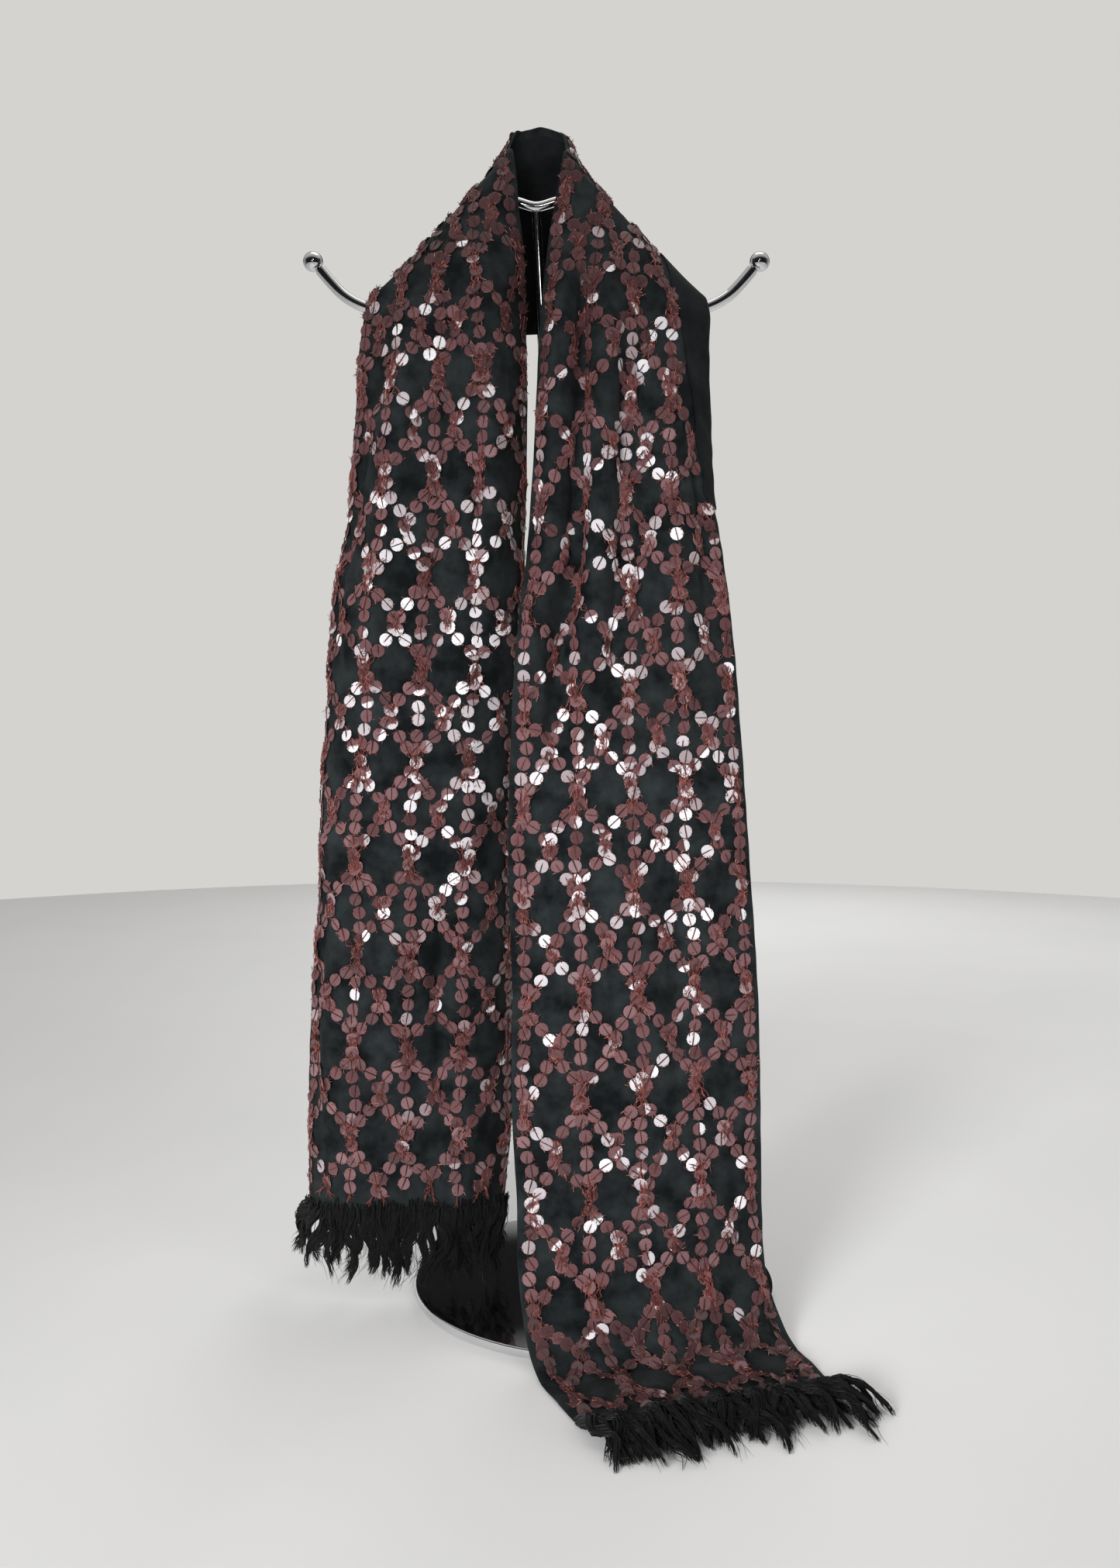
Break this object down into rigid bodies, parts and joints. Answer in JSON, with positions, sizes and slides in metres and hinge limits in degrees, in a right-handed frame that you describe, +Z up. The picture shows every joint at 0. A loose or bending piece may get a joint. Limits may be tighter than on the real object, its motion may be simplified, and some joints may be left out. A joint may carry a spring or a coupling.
{
  "type": "silk scarf on display stand",
  "caption": "Long lined silk scarf with a sequined lattice and fringed ends, draped over the cross-arm of a round-based chrome display stand.",
  "frame": {"origin": "centre of the base plate's underside, on the surface that the stand and the scarf's longer end rest on", "axes": "+Z up, +X to the right as the scarf is seen from the front, -Y towards the viewer"},
  "size_m": [0.4452, 0.4536, 0.968],
  "materials": {
    "sequined_silk": "sequins on silk",
    "lining_silk": "soft",
    "fringe_yarn": "soft",
    "stand_chrome": "polished"
  },
  "bodies": {
    "root": {"face_left": "sequined_silk", "face_right": "sequined_silk", "face_neck": "sequined_silk", "lining_left": "lining_silk", "lining_right": "lining_silk", "lining_neck": "lining_silk", "turned_margin_right": "lining_silk", "fringe_left": "fringe_yarn", "fringe_right": "fringe_yarn", "stand_base": "stand_chrome", "stand_post": "stand_chrome", "stand_arms": "stand_chrome", "stand_ball_left": "stand_chrome", "stand_ball_right": "stand_chrome"}
  },
  "joints": []
}
